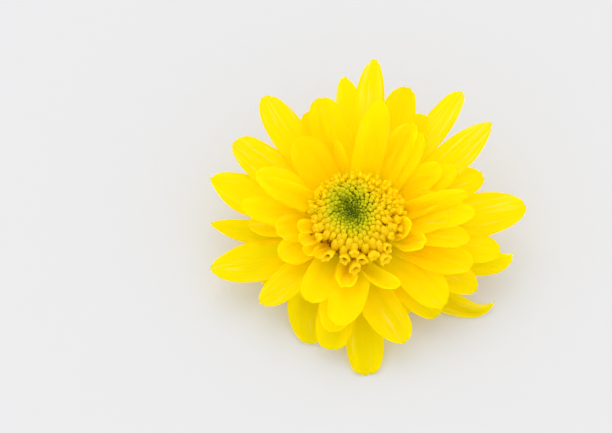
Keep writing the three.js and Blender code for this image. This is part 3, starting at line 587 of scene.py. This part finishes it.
def disc():
    """Buds, closed florets, open tubes, and the floor between them."""
    buds, closed, tubes, core = Skin(), Skin(), Skin(), Skin()
    draw = random.Random(DISC_SEED)
    for k, radius in enumerate(spiral_radii(CLOSED_EDGE)):
        skin = buds if radius < BUD_EDGE else closed
        closed_floret(skin, float(radius), k * GOLDEN_ANGLE, draw)
    for x, y, z, r, round_, turn, slant, opened in FRONT_TUBES:
        open_floret(tubes, (x, y, z), r, round_, turn, slant, opened, draw)
    for count, low, high, radius, height, mouth, most in BACK_TUBES:
        for k in range(count):
            azimuth = low + (high - low) * (k + draw.uniform(0.2, 0.8)) / count
            out, rise = draw.uniform(-0.6, 0.6), draw.uniform(-0.5, 0.5)
            place = DISC_CENTRE + polar(radius + out, azimuth, height + rise)
            open_floret(tubes, place, mouth * draw.uniform(0.85, 1.1), draw.uniform(0.6, 0.95),
                        draw.uniform(0, 180), draw.uniform(0, 0.5), draw.random() < 0.15, draw,
                        draw.uniform(0.0, most))
    revolve(core, DISC_CENTRE, DISC_CORE, 48, lambda radius, azimuth: (greenness(radius, azimuth), 0, 0.5))
    return buds, closed, tubes, core


def revolve(skin, base, rows, around, marks):
    """A closed turned surface. rows: (radius, height) from the bottom pole to the top pole;
    marks gives a vertex's three numbers from its radius and azimuth."""
    azimuth = np.linspace(0, 360, around, endpoint=False)
    points, lines = [base + polar(0, 0, rows[0][1])], [marks(0.0, 0.0)]
    for radius, height in rows[1:-1]:
        points.extend([base + polar(radius, a, height) for a in azimuth])
        lines.extend([marks(radius, a) for a in azimuth])
    points.append(base + polar(0, 0, rows[-1][1]))
    lines.append(marks(0.0, 0.0))
    skin.add(points, lines, tube_faces(len(rows) - 2, around))


# ---------- bracts and stalk ----------
RECEPTACLE = [(0, -3.6), (6.4, -3.6), (8.1, -2.8), (8.4, -1.2), (7.9, 0.2), (7.0, 0.75), (0, 0.75)]
BRACT_ROWS = [
    # count, root radius and height, tip radius and height, width
    (15, 6.6, -5.6, 9.9, -3.1, 4.0),
    (14, 5.6, -6.3, 9.9, -4.3, 4.0),
    (13, 4.6, -6.9, 9.0, -5.3, 3.8),
    (10, 3.3, -7.35, 7.4, -6.3, 3.2),
]
BRACT_SEED = 5
CUP = [(0, -7.5), (3.2, -7.4), (5.4, -6.6), (7.0, -5.4), (7.6, -3.9), (0, -3.9)]
STALK_TOP = -7.0  # along the head's axis; the cut at the other end lies flat on the floor
# From the cut up to the cup: share of the way up, and radius.
STALK_SIDE = [(0.0, 2.02), (0.03, 2.12), (0.3, 2.14), (0.5, 2.2), (0.68, 2.4), (0.82, 2.75), (1.0, 3.3)]
# Across the cut face: share of its radius, and how far it is hollowed upwards.
STALK_FACE = [(0.0, 0.3), (0.35, 0.26), (0.62, 0.14), (0.72, 0.04), (0.9, 0.02)]
STALK_RIBS = 9


def bract(skin, azimuth, row, draw):
    """A small leaf with a thick middle and thin margins, bulging outwards and down."""
    _, r0, z0, r1, z1, width = row
    rows, cols = 16, 9
    s = np.linspace(0, 1, rows)
    v = np.linspace(-1, 1, cols)
    S, V = np.meshgrid(s, v, indexing="ij")
    a = math.radians(azimuth)
    out = np.array([math.cos(a), math.sin(a), 0])
    side = np.array([-math.sin(a), math.cos(a), 0])
    radius = r0 + (r1 - r0) * S
    height = z0 + (z1 - z0) * S - 0.55 * np.sin(math.pi * S)
    half = width / 2 * (0.75 + 0.25 * np.sin(math.pi * S)) * np.sqrt(np.clip(1 - (S * 0.985) ** 4, 0, 1))
    radius = radius - 0.5 * (V ** 2) * half / 2
    height = height + 0.35 * V ** 2 * half / 2 + 0.14 * np.exp(-(V / 0.22) ** 2) * -1
    centre = (
        out * radius[..., None] + side * (half * V)[..., None] + np.array([0, 0, 1]) * height[..., None]
    )
    normal = unit(np.cross(np.gradient(centre, axis=0), np.gradient(centre, axis=1)))
    thick = 0.1 + 0.45 * (1 - V ** 2) ** 0.5 * (1 - 0.7 * S)
    marks = np.stack([S, V, np.full_like(S, draw.uniform(0, 1))], -1)
    offset = (thick / 2)[..., None] * normal
    skin.add(
        np.concatenate([(centre + offset).reshape(-1, 3), (centre - offset).reshape(-1, 3)]),
        np.concatenate([marks.reshape(-1, 3)] * 2),
        sheet_faces(rows, cols),
    )


def stalk_stub(skin):
    """The short ribbed end of the stalk. Marks: 0 to 1 up its side, and from 2 on across the cut."""
    around = 72
    angle = np.linspace(0, 2 * math.pi, around, endpoint=False)
    ribs = 1 + 0.035 * np.cos(STALK_RIBS * angle) + 0.02 * np.cos(4 * angle + 1)

    def on_floor(y):
        return -(HEAD_PLACE[2] + y * math.sin(HEAD_LEAN)) / math.cos(HEAD_LEAN)

    points, marks = [], []
    for share, hollow in STALK_FACE:
        radius = STALK_SIDE[0][1] * share * (1 + (ribs - 1) * share)
        x, y = radius * np.cos(angle), radius * np.sin(angle)
        ring = np.stack([x, y, on_floor(y) + hollow], -1)
        points.extend(ring[:1] if share == 0 else ring)
        marks.extend([(2 + share, 0, 0.5)] * (1 if share == 0 else around))
    for share, radius in STALK_SIDE:
        x, y = radius * ribs * np.cos(angle), radius * ribs * np.sin(angle)
        low = on_floor(y)
        points.extend(np.stack([x, y, low + (STALK_TOP - low) * share], -1))
        marks.extend([(share, 0, 0.5)] * around)
    points.append([0, 0, STALK_TOP])
    marks.append((1, 0, 0.5))
    skin.add(points, marks, tube_faces(len(STALK_FACE) - 1 + len(STALK_SIDE), around))


# ---------- materials ----------
def material(name):
    m = bpy.data.materials.new(name)
    m.use_nodes = True
    return m, m.node_tree, m.node_tree.nodes["Principled BSDF"]


def node(tree, kind, **settings):
    n = tree.nodes.new(kind)
    for key, value in settings.items():
        if key.startswith("i_"):
            n.inputs[key[2:]].default_value = value
        else:
            setattr(n, key, value)
    return n


def math_node(tree, operation, a, b=None, clamp=False):
    n = node(tree, "ShaderNodeMath", operation=operation, use_clamp=clamp)
    for k, x in enumerate((a, b)):
        if x is None:
            continue
        if isinstance(x, (int, float)):
            n.inputs[k].default_value = x
        else:
            tree.links.new(x, n.inputs[k])
    return n.outputs[0]


def mix_colour(tree, factor, a, b):
    n = node(tree, "ShaderNodeMix", data_type="RGBA")
    for socket, x in ((n.inputs[0], factor), (n.inputs[6], a), (n.inputs[7], b)):
        if isinstance(x, (int, float, tuple)):
            socket.default_value = x
        else:
            tree.links.new(x, socket)
    return n.outputs[2]


def ramp(tree, value, stops):
    n = node(tree, "ShaderNodeValToRGB")
    points = n.color_ramp.elements
    while len(points) < len(stops):
        points.new(0.5)
    for point, (place, colour) in zip(points, stops):
        point.position = place
        point.color = (*colour, 1)
    tree.links.new(value, n.inputs[0])
    return n.outputs[0]


def read_marks(tree):
    a = node(tree, "ShaderNodeAttribute", attribute_name="mark")
    split = node(tree, "ShaderNodeSeparateXYZ")
    tree.links.new(a.outputs["Vector"], split.inputs[0])
    return split.outputs


def noise(tree, scale, detail=2.0):
    place = node(tree, "ShaderNodeTexCoord")
    n = node(tree, "ShaderNodeTexNoise", i_Scale=scale, i_Detail=detail)
    tree.links.new(place.outputs["Object"], n.inputs["Vector"])
    return n.outputs["Fac"]


def bump(tree, height, strength, distance, shader):
    n = node(tree, "ShaderNodeBump", i_Strength=strength, i_Distance=distance)
    tree.links.new(height, n.inputs["Height"])
    tree.links.new(n.outputs[0], shader.inputs["Normal"])


PETAL_YELLOW = (0.99, 0.86, 0.0)
PETAL_GOLD = (0.99, 0.74, 0.0)
# pale streaks: partly painted sheen, partly dry wear
PETAL_SHEEN_AND_WEAR = (1.0, 0.95, 0.42)
# painted light at the feet of the petals
PETAL_FOOT_PAINTED_LIGHT = (0.99, 0.97, 0.0)
PETAL_THROUGH = 0.84
FLORET_THROUGH = 0.42
# painted light for the florets at the back, and how much of it
FLORET_PAINTED_LIGHT, FLORET_PAINTED_LIGHT_SHARE = (0.98, 0.77, 0.0), 0.75
# painted shade inside the tubes
FLORET_THROAT_SHADE = (0.12, 0.035, 0.0)
BRACT_THROUGH = 0.3


def let_through(tree, shader, colour, share):
    """Light comes through, tinted a little by each skin that it passes. The share may be a socket."""
    through = node(tree, "ShaderNodeBsdfTranslucent")
    tree.links.new(mix_colour(tree, 0.5, colour, (1.0, 0.95, 0.05, 1)), through.inputs["Color"])
    both = node(tree, "ShaderNodeMixShader")
    if isinstance(share, float):
        both.inputs["Fac"].default_value = share
    else:
        tree.links.new(share, both.inputs["Fac"])
    tree.links.new(shader.outputs[0], both.inputs[1])
    tree.links.new(through.outputs[0], both.inputs[2])
    tree.links.new(both.outputs[0], tree.nodes["Material Output"].inputs["Surface"])


def streaks(tree, along, across, hue, lengthwise, crosswise, detail=2.0):
    """Noise drawn out along a petal, different on each petal."""
    place = node(tree, "ShaderNodeCombineXYZ")
    for socket, value, scale in zip(place.inputs, (along, across, hue), (lengthwise, crosswise, 37.0)):
        tree.links.new(math_node(tree, "MULTIPLY", value, scale), socket)
    n = node(tree, "ShaderNodeTexNoise", i_Scale=1.0, i_Detail=detail, i_Roughness=0.6)
    tree.links.new(place.outputs[0], n.inputs["Vector"])
    return n.outputs["Fac"]


def between(tree, value, low, high):
    """A smooth step from 0 at low to 1 at high."""
    n = node(tree, "ShaderNodeMapRange", interpolation_type="SMOOTHSTEP")
    n.inputs["From Min"].default_value = low
    n.inputs["From Max"].default_value = high
    tree.links.new(value, n.inputs["Value"])
    return n.outputs[0]


def add_share(tree, total, value, share, clamp=False):
    """The total with this share of a value added."""
    return math_node(tree, "ADD", total, math_node(tree, "MULTIPLY", value, share), clamp=clamp)


def petal_material():
    """Yellow with gold veins, gold rims painted as shade, painted light at the foot, and pale streaks near
    the tip that are partly painted sheen and partly dry wear; the gold is deepened as painted shade on
    some petals and paled as painted light on others.
    """
    m, tree, shader = material("ray_floret_skin")
    along, across, hue = read_marks(tree)
    veins = streaks(tree, along, across, hue, 1.6, 13.0)
    patches = streaks(tree, along, across, hue, 2.2, 2.4)
    cells = noise(tree, 900.0, 2.0)
    # deeper gold towards the claw, and in lengthwise veins
    base = math_node(tree, "MULTIPLY", math_node(tree, "SUBTRACT", 1.0, along), 0.3, clamp=True)
    # plus each petal's random tone and its painted shading: deeper gold as painted shade, paler as painted
    # light
    tone_and_painted_shading = math_node(tree, "MULTIPLY", math_node(tree, "SUBTRACT", hue, 0.5), 0.3)
    depth = math_node(tree, "ADD", base, tone_and_painted_shading)
    depth = add_share(tree, depth, between(tree, veins, 0.45, 0.75), 0.45)
    depth = add_share(tree, depth, between(tree, patches, 0.5, 0.8), 0.3, clamp=True)
    # deeper gold along the rims: painted shade that tones down their bright edges
    rim = math_node(tree, "POWER", math_node(tree, "ABSOLUTE", across), 5.0)
    depth = add_share(tree, depth, rim, 0.4, clamp=True)
    colour = mix_colour(tree, depth, (*PETAL_YELLOW, 1), (*PETAL_GOLD, 1))
    # painted light: lighter at the foot, to lift the shade where little light arrives
    foot = math_node(tree, "MULTIPLY", between(tree, along, 0.5, 0.12), 0.85)
    colour = mix_colour(tree, foot, colour, (*PETAL_FOOT_PAINTED_LIGHT, 1))
    # pale streaks near the tip, partly painted sheen and partly dry wear, more on the petals given more of
    # both
    sheen_and_wear = node(tree, "ShaderNodeAttribute", attribute_name="pale").outputs["Fac"]
    sheen_and_wear_streaks = streaks(tree, along, across, hue, 3.0, 7.0, 3.0)
    sheen_and_wear_streaks = add_share(tree, sheen_and_wear_streaks, sheen_and_wear, 0.14)
    sheen_and_wear_streaks = between(tree, sheen_and_wear_streaks, 0.6, 0.85)
    sheen_and_wear_streaks = math_node(tree, "MULTIPLY", sheen_and_wear_streaks, between(tree, along, 0.45, 0.85))
    colour = mix_colour(tree, math_node(tree, "MULTIPLY", sheen_and_wear_streaks, 0.6), colour, (*PETAL_SHEEN_AND_WEAR, 1))
    tree.links.new(colour, shader.inputs["Base Color"])
    rough = math_node(tree, "ADD", math_node(tree, "MULTIPLY", cells, 0.2), 0.34)
    tree.links.new(rough, shader.inputs["Roughness"])
    height = add_share(tree, math_node(tree, "MULTIPLY", veins, 3.0), cells, 0.4)
    bump(tree, height, 0.5, 0.0001, shader)
    shader.inputs["Specular IOR Level"].default_value = 0.1
    shader.inputs["Specular Tint"].default_value = (1, 0.85, 0.1, 1)
    let_through(tree, shader, colour, PETAL_THROUGH)
    return m


def floret_material():
    """Yellow tubes, green towards the tips of the buds in the middle of the disc, with painted shade down
    the sides and feet and in the throats, and painted light on the florets at the back.
    """
    m, tree, shader = material("disc_floret_skin")
    green, height, hue = read_marks(tree)
    wobble = math_node(tree, "MULTIPLY", math_node(tree, "SUBTRACT", hue, 0.5), 0.26)
    wobble = math_node(tree, "MULTIPLY", wobble, between(tree, green, 0.1, 0.6))
    place = math_node(tree, "ADD", green, wobble, clamp=True)
    tip = ramp(tree, place, [
        (0.0, (0.86, 0.57, 0.0)),
        (0.15, (0.79, 0.57, 0.0)),
        (0.33, (0.63, 0.54, 0.0)),
        (0.56, (0.42, 0.42, 0.0)),
        (0.74, (0.17, 0.21, 0.0)),
        (1.0, (0.05, 0.09, 0.0)),
    ])
    # painted shade: the bodies are a little darker than the tips, and the feet, down in the gaps between
    # the florets, much darker
    body = ramp(tree, place, [
        (0.0, (0.84, 0.5, 0.0)),
        (0.35, (0.72, 0.48, 0.0)),
        (0.6, (0.36, 0.33, 0.0)),
        (0.9, (0.04, 0.07, 0.0)),
    ])
    foot = ramp(tree, place, [
        (0.0, (0.34, 0.11, 0.0)),
        (0.3, (0.4, 0.21, 0.0)),
        (0.6, (0.26, 0.23, 0.0)),
        (0.9, (0.06, 0.10, 0.0)),
    ])
    body = mix_colour(tree, between(tree, height, 0.55, 0.2), body, foot)
    colour = mix_colour(tree, between(tree, height, 0.62, 0.92), body, tip)
    # painted light: the florets at the back are made paler, as yellow as the petals, lifting the shade
    # among them
    pale = node(tree, "ShaderNodeAttribute", attribute_name="pale").outputs["Fac"]
    pale = math_node(tree, "MULTIPLY", pale, between(tree, green, 0.45, 0.1))
    share = math_node(tree, "MULTIPLY", pale, FLORET_PAINTED_LIGHT_SHARE)
    colour = mix_colour(tree, share, colour, (*FLORET_PAINTED_LIGHT, 1))
    # painted shade: the throats of open tubes and the dimples of florets about to open are painted dark
    throat_shade = math_node(tree, "MULTIPLY", green, 1 / THROAT_SHADE_MARK, clamp=True)
    colour = mix_colour(tree, throat_shade, colour, (*FLORET_THROAT_SHADE, 1))
    tree.links.new(colour, shader.inputs["Base Color"])
    cells = noise(tree, 1400.0)
    rough = math_node(tree, "ADD", math_node(tree, "MULTIPLY", cells, 0.2), 0.4)
    tree.links.new(rough, shader.inputs["Roughness"])
    bump(tree, cells, 0.3, 0.00006, shader)
    shader.inputs["Specular IOR Level"].default_value = 0.08
    open_to_light = math_node(tree, "ADD", math_node(tree, "MULTIPLY", pale, 0.35), FLORET_THROUGH)
    open_to_light = math_node(tree, "MULTIPLY", math_node(tree, "SUBTRACT", 1.0, throat_shade), open_to_light)
    let_through(tree, shader, colour, open_to_light)
    return m


def green_finish(tree, shader, colour, grain):
    """Soft green skin with a fine grain."""
    tree.links.new(colour, shader.inputs["Base Color"])
    rough = math_node(tree, "ADD", math_node(tree, "MULTIPLY", grain, 0.2), 0.45)
    tree.links.new(rough, shader.inputs["Roughness"])
    bump(tree, grain, 0.4, 0.0001, shader)
    shader.inputs["Specular IOR Level"].default_value = 0.2


def bract_material():
    """Green bracts with a dark middle rib, lengthwise veins and papery brown margins."""
    m, tree, shader = material("bract_skin")
    along, across, hue = read_marks(tree)
    veins = streaks(tree, along, across, hue, 1.5, 9.0)
    patches = noise(tree, 260.0, 2.0)
    vein = between(tree, veins, 0.35, 0.7)
    colour = mix_colour(tree, vein, (0.12, 0.19, 0.015, 1), (0.27, 0.34, 0.04, 1))
    colour = mix_colour(tree, math_node(tree, "MULTIPLY", patches, 0.4), colour, (0.35, 0.38, 0.05, 1))
    side = math_node(tree, "ABSOLUTE", across)
    rib = math_node(tree, "MULTIPLY", between(tree, side, 0.2, 0.05), 0.5)
    colour = mix_colour(tree, rib, colour, (0.09, 0.15, 0.01, 1))
    edge = between(tree, add_share(tree, side, patches, 0.3), 0.8, 1.1)
    end = between(tree, add_share(tree, along, patches, 0.2), 0.85, 1.08)
    paper = math_node(tree, "MAXIMUM", edge, end)
    colour = mix_colour(tree, math_node(tree, "MULTIPLY", paper, 0.85), colour, (0.5, 0.33, 0.1, 1))
    green_finish(tree, shader, colour, veins)
    let_through(tree, shader, colour, BRACT_THROUGH)
    return m


def stalk_material():
    """A ribbed green side; across the cut a pale pith inside a darker ring."""
    m, tree, shader = material("stalk_skin")
    along = read_marks(tree)[0]
    grain = noise(tree, 500.0, 3.0)
    side = mix_colour(tree, grain, (0.14, 0.22, 0.02, 1), (0.3, 0.38, 0.07, 1))
    cut = ramp(tree, math_node(tree, "SUBTRACT", along, 2.0, clamp=True), [
        (0.0, (0.62, 0.66, 0.34)),
        (0.5, (0.6, 0.64, 0.3)),
        (0.62, (0.3, 0.38, 0.1)),
        (0.75, (0.22, 0.3, 0.05)),
        (0.92, (0.12, 0.17, 0.02)),
    ])
    colour = mix_colour(tree, between(tree, along, 1.2, 1.8), side, cut)
    green_finish(tree, shader, colour, grain)
    return m


def floor_material():
    """Plain, pale and matt."""
    m, _, shader = material("pale_floor")
    shader.inputs["Base Color"].default_value = (0.405, 0.405, 0.412, 1)
    shader.inputs["Roughness"].default_value = 0.9
    shader.inputs["Specular IOR Level"].default_value = 0.0
    return m


# ---------- build ----------
petal_skin = petal_material()
floret_skin = floret_material()
# Each petal is a piece of its own, numbered round the head.
order = sorted(range(len(PETALS)), key=lambda i: PETALS[i]["azimuth"] % 360)
for rank, i in enumerate(order):
    blade = Skin()
    petal(blade, PETALS[i], i)
    blade.piece("ray_florets_%d" % (rank + 1), petal_skin, "petals", "ray_florets")
receptacle = Skin()
revolve(receptacle, np.zeros(3), RECEPTACLE, 40, lambda radius, azimuth: (0.0, 0.0, 0.5))
receptacle.piece("receptacle", petal_skin, "petals", "ray_florets")

buds, closed, tubes, core = disc()
buds.piece("disc_buds_closed", floret_skin, "buds", "disc_buds")
closed.piece("disc_florets_closed", floret_skin, "florets", "disc_florets")
tubes.piece("disc_florets_open", floret_skin, "florets", "disc_florets")
core.piece("disc_core", floret_skin, "florets", "disc_florets")

greens = Skin()
draw = random.Random(BRACT_SEED)
revolve(greens, np.zeros(3), CUP, 40, lambda radius, azimuth: (0.3, 0.0, 0.5))
for r, row in enumerate(BRACT_ROWS):
    for k in range(row[0]):
        bract(greens, 360 * (k + (r % 2) / 2) / row[0] + draw.uniform(-4, 4), row, draw)
greens.piece("involucre_bracts", bract_material(), "bracts", "involucre")

stalk = Skin()
stalk_stub(stalk)
stalk.piece("peduncle_stub", stalk_material(), "stalk", "peduncle")

# ---------- floor, light and camera ----------
FLOOR_HALF = 6.0  # metres
WORLD_STRENGTH = 1.72
SUN_STRENGTH = 1.1
SUN_SPREAD = math.radians(55)
SUN_ELEVATION, SUN_AZIMUTH = math.radians(62), math.radians(110)

corners = [(-1, -1), (1, -1), (1, 1), (-1, 1)]
floor_mesh = bpy.data.meshes.new("floor")
floor_mesh.from_pydata([(x * FLOOR_HALF, y * FLOOR_HALF, 0) for x, y in corners], [], [(0, 1, 2, 3)])
floor_mesh.materials.append(floor_material())
floor = bpy.data.objects.new("floor", floor_mesh)
bpy.context.scene.collection.objects.link(floor)

world = bpy.data.worlds.new("studio")
world.use_nodes = True
world.node_tree.nodes["Background"].inputs["Color"].default_value = (1, 1, 1, 1)
world.node_tree.nodes["Background"].inputs["Strength"].default_value = WORLD_STRENGTH
bpy.context.scene.world = world
world.cycles_visibility.glossy = False

sun = bpy.data.lights.new("window", "SUN")
sun.energy = SUN_STRENGTH
sun.angle = SUN_SPREAD
sun_object = bpy.data.objects.new("window", sun)
sun_object.rotation_euler = (0, math.pi / 2 - SUN_ELEVATION, SUN_AZIMUTH)
bpy.context.scene.collection.objects.link(sun_object)

# Thin pale petals pass light on many times before it is lost.
cycles = bpy.context.scene.cycles
cycles.max_bounces = 32
cycles.diffuse_bounces = 16
cycles.transmission_bounces = 24

bpy.context.scene.view_settings.view_transform = "Standard"
bpy.context.scene.view_settings.look = "None"
bpy.context.scene.view_settings.gamma = 1.2

camera_data = bpy.data.cameras.new("camera")
camera_data.lens = VIEW_LENS
camera_data.sensor_width = SENSOR_WIDTH
camera_data.sensor_fit = "HORIZONTAL"
camera_data.clip_start, camera_data.clip_end = 0.01, 50
camera = bpy.data.objects.new("camera", camera_data)
per_mm = VIEW_LENS / SENSOR_WIDTH * IMAGE_WIDTH / VIEW_DISTANCE
up_way = np.array([0, math.sin(VIEW_ELEVATION), math.cos(VIEW_ELEVATION)])
look = np.array([0, math.cos(VIEW_ELEVATION), -math.sin(VIEW_ELEVATION)])
offset_right = (HEAD_PIXEL[0] - IMAGE_WIDTH / 2) / per_mm
offset_down = (HEAD_PIXEL[1] - IMAGE_HEIGHT / 2) / per_mm
place = HEAD_PLACE - VIEW_DISTANCE * look - offset_right * np.array([1.0, 0, 0]) + offset_down * up_way
camera.location = tuple(place * MM)
camera.rotation_euler = (math.pi / 2 - VIEW_ELEVATION, 0, 0)
bpy.context.scene.collection.objects.link(camera)
bpy.context.scene.camera = camera
